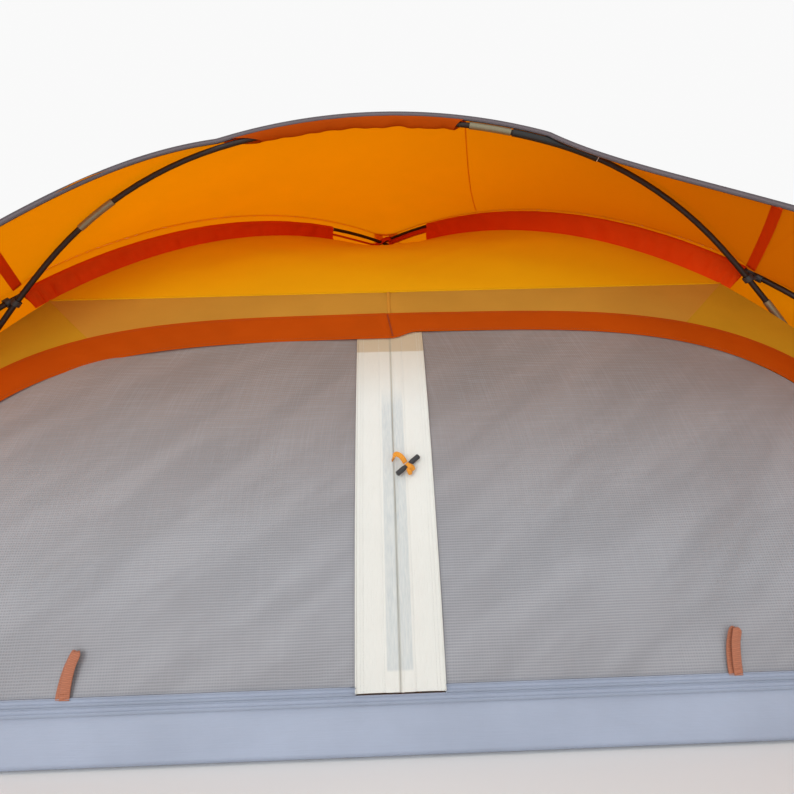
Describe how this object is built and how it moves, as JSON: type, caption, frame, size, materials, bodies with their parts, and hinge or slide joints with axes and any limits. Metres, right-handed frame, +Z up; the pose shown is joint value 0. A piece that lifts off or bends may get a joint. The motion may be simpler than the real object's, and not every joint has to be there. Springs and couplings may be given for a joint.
{
  "type": "dome tent",
  "caption": "Dome tent with crossed poles in sleeves, a brow pole under an overhanging rainfly, and a mesh double door closed by an upright zip in a white strip.",
  "frame": {"origin": "on the ground under the middle of the square floor", "axes": "+Z up, the door faces -Y, +X to the right for someone looking at the door"},
  "size_m": [2.685, 2.6552, 1.2522],
  "materials": {
    "pole": "glossy pultruded glass fibre, brown black",
    "ferrule": "plated steel tube, satin",
    "shock_cord": "braided elastic cord",
    "grip": "black heat-shrink tube",
    "tip": "turned steel",
    "eyelet": "pressed eyelet",
    "webbing": "woven polyester webbing",
    "tub": "coated blue-grey floor cloth",
    "canopy": "yellow orange ripstop nylon",
    "header": "thin tan nylon, translucent",
    "band": "orange nylon band with stitched edges",
    "mesh": "grey no-see-um netting",
    "strip": "white coated nylon strip",
    "zip": "white woven tape and nylon coil",
    "slider": "white painted zinc",
    "ribbon": "orange woven ribbon",
    "toggle": "charcoal moulded plastic",
    "sleeve": "dark red orange nylon",
    "fly": "orange coated polyester",
    "buckle": "black acetal",
    "ring": "flat steel ring"
  },
  "bodies": {
    "root": {"cross_pole_upper_sections": "pole", "cross_pole_upper_ferrules": "ferrule", "cross_pole_upper_shock_cord": "shock_cord", "cross_pole_lower_sections": "pole", "cross_pole_lower_ferrules": "ferrule", "cross_pole_lower_shock_cord": "shock_cord", "brow_pole_sections": "pole", "brow_pole_ferrules": "ferrule", "brow_pole_shock_cord": "shock_cord", "brow_pole_guard": "grip", "pole_tips": "tip", "foot_eyelets": "eyelet", "pole_foot_tabs": "webbing", "fly_straps": "webbing", "tub_floor": "tub", "roof_front": "canopy", "roof_left": "canopy", "roof_right": "canopy", "roof_rear": "canopy", "wall_left": "canopy", "wall_right": "canopy", "wall_rear": "canopy", "front_corner_left": "canopy", "front_corner_right": "canopy", "door_header": "header", "door_band": "band", "sleeve_front_left": "sleeve", "sleeve_front_right": "sleeve", "sleeve_rear_left": "sleeve", "sleeve_rear_right": "sleeve", "crossing_tie": "sleeve", "fly_left": "fly", "fly_right": "fly", "fly_rear": "fly", "fly_front": "fly", "fly_wing_upper_left": "fly", "fly_wing_upper_right": "fly", "fly_wing_lower_left": "fly", "fly_wing_lower_right": "fly", "fly_brow_sleeve": "fly", "hub_clips": "buckle", "ground_rings": "ring"},
    "door_left": {"door_mesh_left": "mesh", "door_strip_left": "strip", "zip_coil_left": "zip", "zip_tape_left": "zip", "tie_loop_left": "webbing"},
    "door_right": {"door_mesh_right": "mesh", "door_strip_right": "strip", "zip_coil_right": "zip", "zip_tape_right": "zip", "tie_loop_right": "webbing"},
    "slider": {"zip_slider": "slider"},
    "toggle": {"pull_ribbon": "ribbon", "pull_toggle": "toggle", "ribbon_knot": "ribbon"},
    "buckle_front_left": {"buckle_front_left": "buckle"},
    "buckle_front_right": {"buckle_front_right": "buckle"},
    "buckle_rear_left": {"buckle_rear_left": "buckle"},
    "buckle_rear_right": {"buckle_rear_right": "buckle"}
  },
  "joints": [
    {"name": "door_left_swing", "type": "hinge", "parent": "root", "child": "door_left", "pos_m": [-0.861, -1.07439, 0.08], "axis": [0, 0, -1], "range_deg": [0, 90]},
    {"name": "door_right_swing", "type": "hinge", "parent": "root", "child": "door_right", "pos_m": [0.861, -1.07439, 0.08], "axis": [0, 0, 1], "range_deg": [0, 90]},
    {"name": "zip_travel", "type": "hinge", "parent": "door_right", "child": "slider", "pos_m": [0, 0.78005, -0.33602], "axis": [-1, 0, 0], "range_deg": [-8.71, 7.87]},
    {"name": "toggle_swing", "type": "hinge", "parent": "slider", "child": "toggle", "pos_m": [0, -0.96884, 0.41418], "axis": [0, -0.919, 0.3942], "range_deg": [-100, 30]},
    {"name": "strap_front_left_slide", "type": "slide", "parent": "root", "child": "buckle_front_left", "axis": [-0.1943, -0.1943, -0.9615], "range_m": [-0.04, 0.05]},
    {"name": "strap_front_right_slide", "type": "slide", "parent": "root", "child": "buckle_front_right", "axis": [0.1943, -0.1943, -0.9615], "range_m": [-0.04, 0.05]},
    {"name": "strap_rear_left_slide", "type": "slide", "parent": "root", "child": "buckle_rear_left", "axis": [-0.1943, 0.1943, -0.9615], "range_m": [-0.04, 0.05]},
    {"name": "strap_rear_right_slide", "type": "slide", "parent": "root", "child": "buckle_rear_right", "axis": [0.1943, 0.1943, -0.9615], "range_m": [-0.04, 0.05]}
  ]
}
